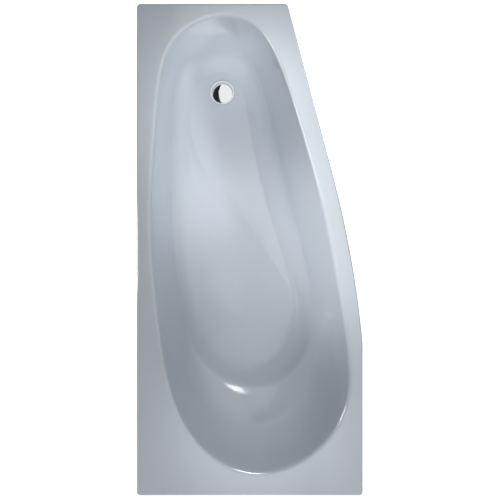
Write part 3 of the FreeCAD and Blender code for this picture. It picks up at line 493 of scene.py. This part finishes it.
def makeGalvanised():
    # zinc spangle, brushed a little lighter by handling
    setup = galvanisedSetup
    material, tree, shader = newMaterial("galvanised", Metallic=1.0)
    spangle = useGroup(tree, cellGroup, **setup["spangle"])
    lines = useGroup(tree, hairlineGroup, **setup["lines"])
    clouds = useGroup(tree, cloudGroup, **setup["clouds"])
    tone = blendColours(tree, spangle.outputs["Tone"], setup["dark"], setup["light"])
    wear = rangeOf(tree, lines.outputs["Mask"], 0.0, setup["wornShare"])
    tree.links.new(blendColours(tree, wear, tone, setup["light"]), shader.inputs["Base Color"])
    tree.links.new(rangeOf(tree, clouds.outputs["Mask"], *setup["gloss"]), shader.inputs["Roughness"])
    addBump(tree, shader, spangle.outputs["Height"], setup["depth"], setup["strength"])
    return material


bitumenSetup = {
    "light": (0.045, 0.045, 0.048),
    "dark": (0.022, 0.022, 0.024),
    "gloss": (0.62, 0.9),
    "waffle": {"Scale": 110.0, "Border": 0.30, "Jitter": 0.0},
    "waffleDepth": 0.0006,
    "waffleStrength": 0.9,
    "grain": {"Scale": 900.0, "Detail": 4.0},
    "grainDepth": 0.0002,
    "grainStrength": 0.6,
    "dust": {"Scale": 14.0, "Detail": 5.0},
}


def makeBitumen():
    # heavy sound mat with an embossed waffle and a dusty face
    setup = bitumenSetup
    material, tree, shader = newMaterial("bitumen")
    waffle = useGroup(tree, cellGroup, **setup["waffle"])
    grain = useGroup(tree, grainGroup, **setup["grain"])
    dust = useGroup(tree, cloudGroup, **setup["dust"])
    tone = blendColours(tree, dust.outputs["Mask"], setup["dark"], setup["light"])
    tree.links.new(tone, shader.inputs["Base Color"])
    tree.links.new(rangeOf(tree, dust.outputs["Mask"], *setup["gloss"]), shader.inputs["Roughness"])
    relief = addBump(tree, shader, waffle.outputs["Height"], setup["waffleDepth"], setup["waffleStrength"])
    addBump(tree, shader, grain.outputs["Height"], setup["grainDepth"], setup["grainStrength"], relief)
    return material


foamSetup = {
    "light": (0.80, 0.79, 0.75),
    "dark": (0.70, 0.685, 0.64),
    "gloss": 0.9,
    "beads": {"Scale": 240.0, "Border": 0.22},
    "soil": {"Scale": 18.0, "Detail": 4.0, "Low": 0.45, "High": 0.8},
    "depth": 0.0005,
    "strength": 0.8,
}


def makeFoam():
    # moulded bead foam, a little soiled
    setup = foamSetup
    material, tree, shader = newMaterial("foam", Roughness=setup["gloss"])
    beads = useGroup(tree, cellGroup, **setup["beads"])
    soil = useGroup(tree, cloudGroup, **setup["soil"])
    seams = blendColours(tree, beads.outputs["Height"], setup["dark"], setup["light"])
    tone = blendColours(tree, soil.outputs["Mask"], seams, setup["dark"])
    tree.links.new(tone, shader.inputs["Base Color"])
    addBump(tree, shader, beads.outputs["Height"], setup["depth"], setup["strength"])
    return material


plasticSetup = {
    # light tone, dark tone, roughness range, grain scale, grain depth
    "foot_plastic": ((0.030, 0.030, 0.032), (0.018, 0.018, 0.020), (0.38, 0.55), 1400.0, 0.00012),
    "white_plastic": ((0.84, 0.84, 0.82), (0.79, 0.79, 0.765), (0.26, 0.38), 500.0, 0.00004),
    "grey_plastic": ((0.115, 0.120, 0.128), (0.085, 0.090, 0.098), (0.30, 0.45), 700.0, 0.00006),
    "seal": ((0.022, 0.022, 0.022), (0.013, 0.013, 0.013), (0.50, 0.72), 1100.0, 0.00008),
}
anyPlasticSetup = {"clouds": {"Scale": 30.0, "Detail": 3.0}, "grainDetail": 2.5, "strength": 0.7}


def makePlastic(slot):
    # moulded plastic or rubber with a fine skin
    light, dark, gloss, scale, depth = plasticSetup[slot]
    setup = anyPlasticSetup
    material, tree, shader = newMaterial(slot, IOR=1.49)
    clouds = useGroup(tree, cloudGroup, **setup["clouds"])
    grain = useGroup(tree, grainGroup, Scale=scale, Detail=setup["grainDetail"])
    tree.links.new(blendColours(tree, clouds.outputs["Mask"], light, dark), shader.inputs["Base Color"])
    tree.links.new(rangeOf(tree, clouds.outputs["Mask"], *gloss), shader.inputs["Roughness"])
    addBump(tree, shader, grain.outputs["Height"], depth, setup["strength"])
    return material


metalSetup = {
    # light tone, dark tone, roughness range, hairline scale, stretch, line depth
    "chrome": ((0.82, 0.845, 0.87), (0.78, 0.805, 0.835), (0.035, 0.060), 30.0, 10.0, 0.000002),
    "stainless": ((0.68, 0.675, 0.66), (0.55, 0.545, 0.53), (0.20, 0.34), 90.0, 16.0, 0.000015),
}
anyMetalSetup = {"clouds": {"Scale": 24.0, "Detail": 3.0}, "lineLevel": 0.45, "strength": 0.5}


def makeMetal(slot):
    # plated or plain bright metal with fine lines in it
    light, dark, gloss, scale, stretch, depth = metalSetup[slot]
    setup = anyMetalSetup
    material, tree, shader = newMaterial(slot, Metallic=1.0)
    clouds = useGroup(tree, cloudGroup, **setup["clouds"])
    lines = useGroup(tree, hairlineGroup, Scale=scale, Stretch=stretch, Level=setup["lineLevel"])
    tree.links.new(blendColours(tree, lines.outputs["Mask"], light, dark), shader.inputs["Base Color"])
    tree.links.new(rangeOf(tree, clouds.outputs["Mask"], *gloss), shader.inputs["Roughness"])
    addBump(tree, shader, lines.outputs["Mask"], depth, setup["strength"])
    return material


materials = {
    "enamel": makeEnamel(),
    "galvanised": makeGalvanised(),
    "bitumen": makeBitumen(),
    "foam": makeFoam(),
}
for slot in plasticSetup:
    materials[slot] = makePlastic(slot)
for slot in metalSetup:
    materials[slot] = makeMetal(slot)
nodeSlot = {entry["node"]: entry["material_slot"] for entry in subparts}
for name, slot in nodeSlot.items():
    for spot in nodes[name].material_slots:
        spot.material = materials[slot]
print("finishes made:", ", ".join(materials))


# Modelling by hand: start from a primitive, shape it in edit mode, finish with modifiers

def bakePlace(item):
    pickOnly(item)
    bpy.ops.object.transform_apply(location=True, rotation=True, scale=True)


def useModifier(item, kind, **settings):
    pickOnly(item)
    modifier = item.modifiers.new(kind.lower(), kind)
    for label, value in settings.items():
        setattr(modifier, label, value)
    bpy.ops.object.modifier_apply(modifier=modifier.name)


def openWhere(item, test):
    # edit mode with only those vertices selected whose place passes the test
    openMesh(item)
    bpy.ops.mesh.select_all(action="DESELECT")
    closeMesh()
    for vertex in item.data.vertices:
        vertex.select = test(vertex.co)
    bpy.context.tool_settings.mesh_select_mode = (True, False, False)
    bpy.ops.object.mode_set(mode="EDIT")


def drawProfile(name, points):
    # a chain of edges in the XZ plane, drawn out from a single point
    deselectAll()
    bpy.ops.mesh.primitive_plane_add(size=mm, location=(points[0][0], 0.0, points[0][1]))
    item = bpy.context.object
    item.name = name
    bakePlace(item)
    openMesh(item)
    bpy.ops.mesh.merge(type="CENTER")
    for before, after in zip(points, points[1:]):
        step = (after[0] - before[0], 0.0, after[1] - before[1])
        bpy.ops.mesh.extrude_region_move(TRANSFORM_OT_translate={"value": step})
    closeMesh()
    return item


def turnProfile(name, points, steps):
    # points run from the axis round the section and back to it, or in a closed ring
    item = drawProfile(name, points)
    useModifier(item, "SCREW", axis="Z", steps=steps, render_steps=steps, use_merge_vertices=True)
    openMesh(item)
    bpy.ops.mesh.remove_doubles(threshold=weldGap)
    bpy.ops.mesh.normals_make_consistent(inside=False)
    closeMesh()
    return item


def addBlock(name, place, size, turn=0.0):
    deselectAll()
    bpy.ops.mesh.primitive_cube_add(size=1.0, location=place, rotation=(0, 0, turn))
    item = bpy.context.object
    item.name = name
    item.scale = size
    bakePlace(item)
    return item


def trim(item, tool, operation):
    useModifier(item, "BOOLEAN", operation=operation, object=tool, solver="EXACT")
    bpy.data.objects.remove(tool)


def softenEdges(item, width, segments=2, angle=40.0):
    limit = math.radians(angle)
    useModifier(item, "BEVEL", width=width, segments=segments, limit_method="ANGLE", angle_limit=limit)


def joinInto(item, others):
    pickOnly(item)
    for other in others:
        other.select_set(True)
    bpy.ops.object.join()


def copyTo(item, name, place=(0.0, 0.0, 0.0), turn=0.0):
    twin = item.copy()
    twin.data = item.data.copy()
    twin.name = name
    scene.collection.objects.link(twin)
    twin.location = place
    twin.rotation_euler = (0.0, 0.0, turn)
    bakePlace(twin)
    return twin


def finishPiece(item, node, smooth=35.0):
    # dress a finished piece as the node that it stands for
    item.name = node + "_piece"
    bakePlace(item)
    bpy.ops.object.shade_smooth_by_angle(angle=math.radians(smooth))
    item.data.materials.clear()
    item.data.materials.append(materials[nodeSlot[node]])
    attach(item, nodeBody[node])
    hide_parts(node)


def finishTwins(twins, node, smooth=35.0):
    # copies that share one node become one piece
    joinInto(twins[0], twins[1:])
    finishPiece(twins[0], node, smooth)


def finishAtCorners(item, stem):
    # one piece for each corner's own node
    for corner in corners:
        node = stem + corner
        middle = middleOf(node)
        finishPiece(copyTo(item, node, (middle.x, middle.y, 0.0)), node)
    bpy.data.objects.remove(item)


def middleOf(node):
    low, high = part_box(node)
    return (low + high) / 2


# Threaded rods

threadSetup = {
    "depthShare": 0.61,
    "crestShare": 0.12,
    "rootShare": 0.16,
    "spareTurns": 2,  # screwed on at both ends and cut off again
    "weldGap": 0.001 * mm,
    "rootMargin": 0.1 * mm,
}


def makeThread(name, radius, pitch, low, high, steps, chamfer):
    # one groove is screwed up the rod, cut level at both ends and tapered at the top
    setup = threadSetup
    root = radius - pitch * setup["depthShare"]
    flat = pitch * setup["rootShare"] / 2
    crest = pitch * setup["crestShare"] / 2
    start = low - setup["spareTurns"] * pitch
    points = [
        (root, start),
        (root, start + flat),
        (radius, start + pitch / 2 - crest),
        (radius, start + pitch / 2 + crest),
        (root, start + pitch - flat),
        (root, start + pitch),
    ]
    turns = math.ceil((high - low) / pitch) + 2 * setup["spareTurns"]
    rod = drawProfile(name, points)
    useModifier(
        rod, "SCREW", axis="Z", steps=steps, render_steps=steps, screw_offset=pitch, iterations=turns,
        use_merge_vertices=True, merge_threshold=setup["weldGap"]
    )
    for level, side in ((low, "clear_inner"), (high, "clear_outer")):
        openMesh(rod)
        bpy.ops.mesh.bisect(plane_co=(0, 0, level), plane_no=(0, 0, 1), use_fill=True, **{side: True})
        closeMesh()
    reach = root + setup["rootMargin"]
    openWhere(rod, lambda place: place.z > high - chamfer and math.hypot(place.x, place.y) > reach)
    share = root / radius
    bpy.ops.transform.resize(value=(share, share, 1.0), center_override=(0.0, 0.0, high))
    bpy.ops.mesh.select_all(action="SELECT")
    bpy.ops.mesh.normals_make_consistent(inside=False)
    closeMesh()
    return rod


# Hexagonal bars for the studs' flats and the nuts

hexSetup = {"faceShare": 0.475, "beyondShare": 1.05, "turnedAngle": 30.0, "steps": 72}


def makeHexBlank(name, flats, low, high):
    # a hexagonal bar whose corners are turned down at both ends
    corner = flats / math.sqrt(3)
    deselectAll()
    bpy.ops.mesh.primitive_cylinder_add(
        vertices=6, radius=corner, depth=high - low, location=(0, 0, (low + high) / 2),
        rotation=(0, 0, math.pi / 2)
    )
    blank = bpy.context.object
    blank.name = name
    bakePlace(blank)
    face = flats * hexSetup["faceShare"]
    beyond = corner * hexSetup["beyondShare"]
    drop = (beyond - face) * math.tan(math.radians(hexSetup["turnedAngle"]))
    envelope = turnProfile(name + "_turned", [
        (0.0, low), (face, low), (beyond, low + drop), (beyond, high - drop), (face, high), (0.0, high),
    ], hexSetup["steps"])
    trim(blank, envelope, "INTERSECT")
    return blank


# Threaded studs with flats for a spanner and a plain tip in the pad

studSetup = {
    "radius": 6.0 * mm,
    "pitch": 1.75 * mm,
    "steps": 24,
    "topChamfer": 1.1 * mm,
    "flats": 17.0 * mm,
    "flatsLow": 14.0 * mm,
    "flatsHigh": 21.0 * mm,
    "tipRadius": 5.0 * mm,
    "tipLow": 4.0 * mm,
    "tipSteps": 48,
    "edge": 0.4 * mm,
    "overlap": 0.5 * mm,  # how far the thread reaches into the flats
}


def makeStuds():
    setup = studSetup
    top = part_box("foot_stud_" + corners[0])[1].z
    tipRadius, tipLow, edge = setup["tipRadius"], setup["tipLow"], setup["edge"]
    tipHigh = setup["flatsLow"] + edge
    rod = makeThread(
        "studRod", setup["radius"], setup["pitch"], setup["flatsHigh"] - setup["overlap"], top,
        setup["steps"], setup["topChamfer"]
    )
    flats = makeHexBlank("studFlats", setup["flats"], setup["flatsLow"], setup["flatsHigh"])
    tip = turnProfile("studTip", [
        (0.0, tipLow),
        (tipRadius - edge, tipLow),
        (tipRadius, tipLow + edge),
        (tipRadius, tipHigh),
        (0.0, tipHigh),
    ], setup["tipSteps"])
    joinInto(rod, [flats, tip])
    finishAtCorners(rod, "foot_stud_")


makeStuds()
print("threaded studs made")


# Nuts on the studs

nutSetup = {
    "flats": 19.0 * mm,
    "bore": 6.05 * mm,
    "countersink": 0.8 * mm,
    "over": 1.0 * mm,  # how far the drill stands out at each face
    "steps": 72,
    "edge": 0.15 * mm,
    "edgeAngle": 20.0,
    "smooth": 25.0,
}


def makeNuts(node):
    setup = nutSetup
    low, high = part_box(node)
    tall = high.z - low.z
    bore, sink, over = setup["bore"], setup["countersink"], setup["over"]
    nut = makeHexBlank("nutBlank", setup["flats"], 0.0, tall)
    drill = turnProfile("nutDrill", [
        (0.0, -over),
        (bore + sink + over, -over),
        (bore, sink),
        (bore, tall - sink),
        (bore + sink + over, tall + over),
        (0.0, tall + over),
    ], setup["steps"])
    trim(nut, drill, "DIFFERENCE")
    softenEdges(nut, setup["edge"], 1, setup["edgeAngle"])
    twins = []
    for corner in corners:
        stud = middleOf("foot_stud_" + corner)
        twins.append(copyTo(nut, "nut", (stud.x, stud.y, low.z)))
    bpy.data.objects.remove(nut)
    finishTwins(twins, node, setup["smooth"])


makeNuts("weld_nuts")
makeNuts("lock_nuts")
print("nuts made")


# Swivelling feet: a moulded skirt, radial ribs and a collar round the stud's tip

padSetup = {
    "radius": 24.0 * mm,
    "height": 14.0 * mm,
    "steps": 96,
    "rim": 5.0 * mm,
    "rimBevel": 1.5 * mm,
    "rimWall": 1.4 * mm,
    "rimFoot": 2.2 * mm,
    "neck": 12.0 * mm,
    "bore": 5.05 * mm,
    "socket": 4.0 * mm,
    "collar": 8.0 * mm,
    "collarDrop": 1.2 * mm,
    "collarFlare": 1.0 * mm,
    "recess": 1.6 * mm,
    "edge": 0.5 * mm,
    "edgeAngle": 28.0,
    "ribs": 12,
    "ribWidth": 1.6 * mm,
    "ribGap": 0.6 * mm,
    "ribLift": 1.0 * mm,
    "ribDrop": 1.0 * mm,
    "ribEdge": 0.3 * mm,
}


def makeRibs():
    # each rib is a block whose inner end is raised along the skirt
    setup = padSetup
    neck, rim, lift = setup["neck"], setup["rim"], setup["ribLift"]
    long = setup["radius"] - neck - setup["ribGap"]
    x, z = neck + long / 2, rim / 2 + lift
    rib = addBlock("rib", (x, 0.0, z), (long, setup["ribWidth"], rim - lift))
    top = max(vertex.co.z for vertex in rib.data.vertices)
    openWhere(rib, lambda place: place.z > z and place.x < x)
    bpy.ops.transform.translate(value=(0.0, 0.0, setup["height"] - setup["ribDrop"] - top))
    closeMesh()
    softenEdges(rib, setup["ribEdge"])
    ribs = [copyTo(rib, "rib", turn=2 * math.pi * i / setup["ribs"]) for i in range(setup["ribs"])]
    bpy.data.objects.remove(rib)
    return ribs


def makePads():
    setup = padSetup
    radius, height, rim, recess = setup["radius"], setup["height"], setup["rim"], setup["recess"]
    bevel, collar, bore, socket = setup["rimBevel"], setup["collar"], setup["bore"], setup["socket"]
    pad = turnProfile("footPad", [
        (0.0, 0.0),
        (radius - bevel, 0.0),
        (radius, bevel),
        (radius, rim),
        (radius - setup["rimWall"], rim),
        (radius - setup["rimFoot"], rim - recess / 2),
        (setup["neck"], height - recess),
        (collar + setup["collarFlare"], height - setup["collarDrop"]),
        (collar, height),
        (bore, height),
        (bore, socket),
        (0.0, socket),
    ], setup["steps"])
    softenEdges(pad, setup["edge"], angle=setup["edgeAngle"])
    joinInto(pad, makeRibs())
    finishAtCorners(pad, "foot_pad_")


makePads()
print("feet made")


# Screws that hold the support blocks

screwSetup = {
    "radius": 3.0 * mm,
    "pitch": 1.8 * mm,
    "steps": 18,
    "tip": 2.0 * mm,
    "overlap": 0.5 * mm,  # how far the thread reaches into the head
    "headRadius": 5.0 * mm,
    "headTall": 4.0 * mm,
    "headSteps": 48,
    # share of the head's radius and height over its top, from the middle outwards
    "dome": ((0.0, 0.0), (0.45, 0.25 * mm), (0.75, 0.85 * mm), (0.93, 1.8 * mm), (1.0, 3.0 * mm)),
    "crossWide": 1.3 * mm,
    "crossLong": 5.2 * mm,
    "crossDeep": 2.2 * mm,
    "inset": 30.0 * mm,  # from the support block's ends
    "turn": 0.35,
}


def makeScrews():
    # the heads point down, under the rails
    setup = screwSetup
    low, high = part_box("block_screws")
    web = low.z + setup["headTall"]
    radius = setup["headRadius"]
    dome = [(radius * share, low.z + rise) for share, rise in setup["dome"]]
    head = turnProfile("screwHead", dome + [(radius, web), (0.0, web)], setup["headSteps"])
    for turn in (0.0, math.pi / 2):
        size = (setup["crossLong"], setup["crossWide"], setup["crossDeep"] * 2)
        trim(head, addBlock("crossBar", (0, 0, low.z), size, turn), "DIFFERENCE")
    shank = makeThread(
        "screwShank", setup["radius"], setup["pitch"], web - setup["overlap"], high.z, setup["steps"],
        setup["tip"]
    )
    joinInto(head, [shank])
    twins = []
    for end in ("drain", "head"):
        blockLow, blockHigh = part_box("support_block_" + end)
        y = (blockLow.y + blockHigh.y) / 2
        for x in (blockLow.x + setup["inset"], blockHigh.x - setup["inset"]):
            twins.append(copyTo(head, "screw", (x, y, 0.0), setup["turn"] + x))
    bpy.data.objects.remove(head)
    finishTwins(twins, "block_screws")


makeScrews()
print("screws made")


# Plug: a domed cap with a rounded edge

plugSetup = {
    "radius": 38.5 * mm,
    "rise": 3.9 * mm,
    "wall": 1.6 * mm,
    "arcSteps": 14,
    "steps": 128,
    "edge": 1.0 * mm,
    "edgeSegments": 5,
    "edgeAngle": 30.0,
    "smooth": 50.0,
}


def makePlugCap():
    setup = plugSetup
    low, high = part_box("plug_cap")
    radius, rise, wall, steps = setup["radius"], setup["rise"], setup["wall"], setup["arcSteps"]
    inside = radius - wall
    ball = (radius * radius + rise * rise) / (2 * rise)

    def onBall(reach, top):
        return reach, top - ball + math.sqrt(ball * ball - reach * reach)

    outer = [onBall(radius * (1 - i / steps), high.z) for i in range(steps + 1)]
    inner = [onBall(inside * i / steps, high.z - wall) for i in range(steps + 1)]
    points = [(inside, low.z), (radius, low.z)] + outer + inner + [(inside, low.z)]
    cap = turnProfile("plugCap", points, setup["steps"])
    softenEdges(cap, setup["edge"], setup["edgeSegments"], setup["edgeAngle"])
    middle = middleOf("plug_cap")
    cap.location = (middle.x, middle.y, 0.0)
    finishPiece(cap, "plug_cap", setup["smooth"])


makePlugCap()
print("plug made")


# Rails, caps and tab: the solids with their sharp edges broken

roundedSetup = {
    # node: edge width, segments
    "rail_drain_end": (1.2 * mm, 3),
    "rail_head_end": (1.2 * mm, 3),
    "rail_end_caps": (0.8 * mm, 3),
    "earth_lug": (0.5 * mm, 2),
}
seamAngle = 1.0  # degrees; edges flatter than this only part one flat face


def roundSolid(node, width, segments):
    # a copy of the solid, freed from its body and labels, with the seams in its flat faces gone
    item = nodes[node].copy()
    item.data = nodes[node].data.copy()
    scene.collection.objects.link(item)
    item.parent = None
    for label in list(item.keys()):
        del item[label]
    openMesh(item)
    bpy.ops.mesh.remove_doubles(threshold=weldGap)
    bpy.ops.mesh.dissolve_limited(angle_limit=math.radians(seamAngle))
    closeMesh()
    softenEdges(item, width, segments)
    finishPiece(item, node)


for node, (width, segments) in roundedSetup.items():
    roundSolid(node, width, segments)
print("edges broken on", len(roundedSetup), "pieces")
